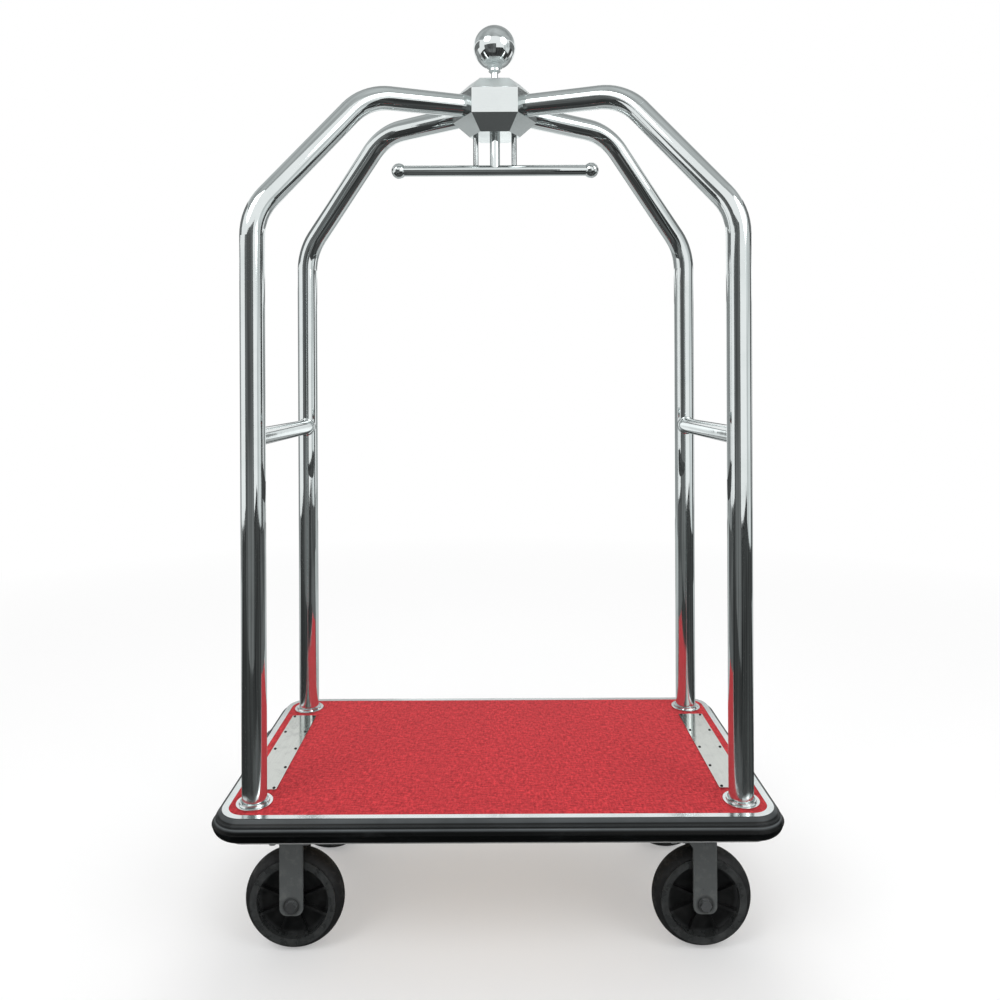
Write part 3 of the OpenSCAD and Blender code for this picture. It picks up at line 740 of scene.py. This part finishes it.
# rays that reach the eye, straight or by way of metal
def eyeRays(f):
    ways = ("Is Camera Ray", "Is Glossy Ray", "Is Transmission Ray")
    seen = [f.node("LightPath", out=way) for way in ways]
    return f.sums("MAXIMUM", f.sums("MAXIMUM", seen[0], seen[1]), seen[2])


def layFloor():
    startFresh()
    bpy.ops.mesh.primitive_circle_add(
        vertices=studio["floorSides"],
        radius=studio["floorRadius"],
        fill_type="NGON",
        location=(0, 0, -studio["floorDrop"]),
    )
    floor = bpy.context.object
    floor.name = "studioFloor"
    f = newFinish("studioFloor")
    f.skin(Base_Color=studio["floorTone"], Roughness=0.9, Specular_IOR_Level=0.0)
    x, y, z = f.axes()
    away = (x * x + y * y) ** 0.5 / studio["floorRadius"]
    near, far = studio["floorFade"]
    part = f.ramp(away, (near, studio["floorGlow"]), (far, 1)) * eyeRays(f)
    white = f.node("Emission", {}, {"Color": (1.0, 1.0, 1.0)})
    mixed = f.node("MixShader", {}, {0: part, 2: white})
    f.tree.links.new(f.tree.nodes["Principled BSDF"].outputs[0], mixed.socket.node.inputs[1])
    f.feed(f.tree.nodes["Material Output"].inputs["Surface"], mixed)
    floor.data.materials.append(f.owner)


# white air to the eye and in the metal, softer light on the rest
def fillAir():
    scene.world = bpy.data.worlds.new("studioAir")
    f = Finish(scene.world)
    lit = studio["airLight"]
    seen = eyeRays(f)
    air = f.tree.nodes["Background"]
    f.feed(air.inputs["Color"], (1.0, 1.0, 1.0))
    f.feed(air.inputs["Strength"], lit + (1 - lit) * seen)


def hangLamps():
    for lamp in studio["lamps"]:
        bpy.ops.object.light_add(type="AREA", location=lamp["place"])
        made = bpy.context.object
        made.name = lamp["name"]
        made.data.shape = "DISK"
        made.data.size = lamp["size"]
        made.data.energy = lamp["power"]
        aim = made.location.copy()
        aim.x, aim.y, aim.z = lamp["aim"]
        made.rotation_euler = (aim - made.location).to_track_quat("-Z", "Y").to_euler()


# cards out of sight that only the polished metal mirrors, grey above and dark in front
level, ahead, aside = (0, 0, 0), (90, 0, 0), (90, 0, 90)
cards = [
    {"name": "ceilingCard", "place": (0, 0.2, 4.3), "size": (9, 6.4), "turn": level, "tone": 0.44},
    {"name": "frontCard", "place": (-1.25, -1.9, 0.95), "size": (3.1, 1.9), "turn": ahead, "tone": 0.10},
    {"name": "frontMat", "place": (0, -2.4, 0.006), "size": (11, 6), "turn": level, "tone": 0.03},
    {"name": "nearMat", "place": (0, -0.8, 0.008), "size": (0.8, 0.7), "turn": level, "tone": 0.1},
    {"name": "rearMat", "place": (0, 2.4, 0.006), "size": (11, 3.6), "turn": level, "tone": 0.48},
    {"name": "rearCard", "place": (0, 4.2, 0.98), "size": (11, 1.96), "turn": ahead, "tone": 0.28},
    {"name": "rearGlow", "place": (0, 4.1, 0.95), "size": (1.5, 1.6), "turn": ahead, "tone": 0.95},
    {"name": "leftUpper", "place": (-3.4, 1.9, 2.75), "size": (4.2, 1.5), "turn": aside, "tone": 0.18},
    {"name": "rightUpper", "place": (3.4, 1.9, 2.75), "size": (4.2, 1.5), "turn": aside, "tone": 0.18},
    {"name": "leftCard", "place": (-3.4, 2.5, 0.98), "size": (3.4, 1.96), "turn": aside, "tone": 0.30},
    {"name": "rightCard", "place": (3.0, 0.7, 1.0), "size": (1.1, 2.0), "turn": aside, "tone": 0.05},
    {"name": "sideCard", "place": (4.6, -1.6, 1.6), "size": (4.0, 3.2), "turn": aside, "tone": 0.68},
    # deckFlag and midFlag sit inside the cart and show only in the metal: painted dark reflections,
    # deckFlag in place of the carpet's red
    {"name": "deckFlag", "place": (0, 0, 0.9), "size": (0.86, 0.38), "turn": level, "tone": 0.06},
    {"name": "midFlag", "place": (0, 0, 0.59), "size": (0.56, 0.35), "turn": aside, "tone": 0.11},
]
cardMottle = {
    "scale": 2.2,
    "streaks": 4,
    "streakPitch": 3,
    "streakRun": 0.2,
    "parts": (0.4, 0.6),
    "cool": 1.03,
    "span": (0.55, 1.45),
    "spans": {"frontCard": (0.25, 2.2), "frontMat": (0.1, 3.2)},
    "mats": ("frontMat", "rearMat"),
}


# clouds on every card, and streaks, which the tubes mirror as long lines
def cardTone(f, row):
    wide, tall = row["size"]
    clouds = f.ramp(f.noise(cardMottle["scale"], 3, 0.6), (0.3, 0), (0.7, 1))
    x, y, z = f.axes()
    if row["name"] in cardMottle["mats"]:
        across = x * wide + row["place"][0]
        ahead = y * tall + row["place"][1]
        line = f.sums("ARCTAN2", ahead, across)
    elif row["turn"] != level:
        line = x * (wide / cardMottle["streakPitch"])
    else:
        return clouds
    along = f.node("CombineXYZ", {}, {0: line, 1: y * cardMottle["streakRun"]})
    streaks = f.ramp(f.noise(cardMottle["streaks"], 3, 0.6, seen=along), (0.35, 0), (0.65, 1))
    cloudPart, streakPart = cardMottle["parts"]
    return cloudPart * clouds + streakPart * streaks


def cardColour(tone):
    return (tone, tone * cardMottle["cool"], tone * cardMottle["cool"])


def standCards():
    for row in cards:
        f = newFinish(row["name"])
        span = cardMottle["spans"].get(row["name"], cardMottle["span"])
        dim, lit = [cardColour(row["tone"] * share) for share in span]
        glow = f.node("Emission", {}, {"Color": f.blend(cardTone(f, row), dim, lit)})
        f.feed(f.tree.nodes["Material Output"].inputs["Surface"], glow)
        startFresh()
        turn = [math.radians(a) for a in row["turn"]]
        bpy.ops.mesh.primitive_plane_add(size=1, location=row["place"], rotation=turn)
        card = bpy.context.object
        card.name = row["name"]
        card.scale = (*row["size"], 1)
        card.data.materials.append(f.owner)
        card.visible_camera = False
        card.visible_diffuse = False
        card.visible_shadow = False


layFloor()
fillAir()
hangLamps()
standCards()
print("studio set")
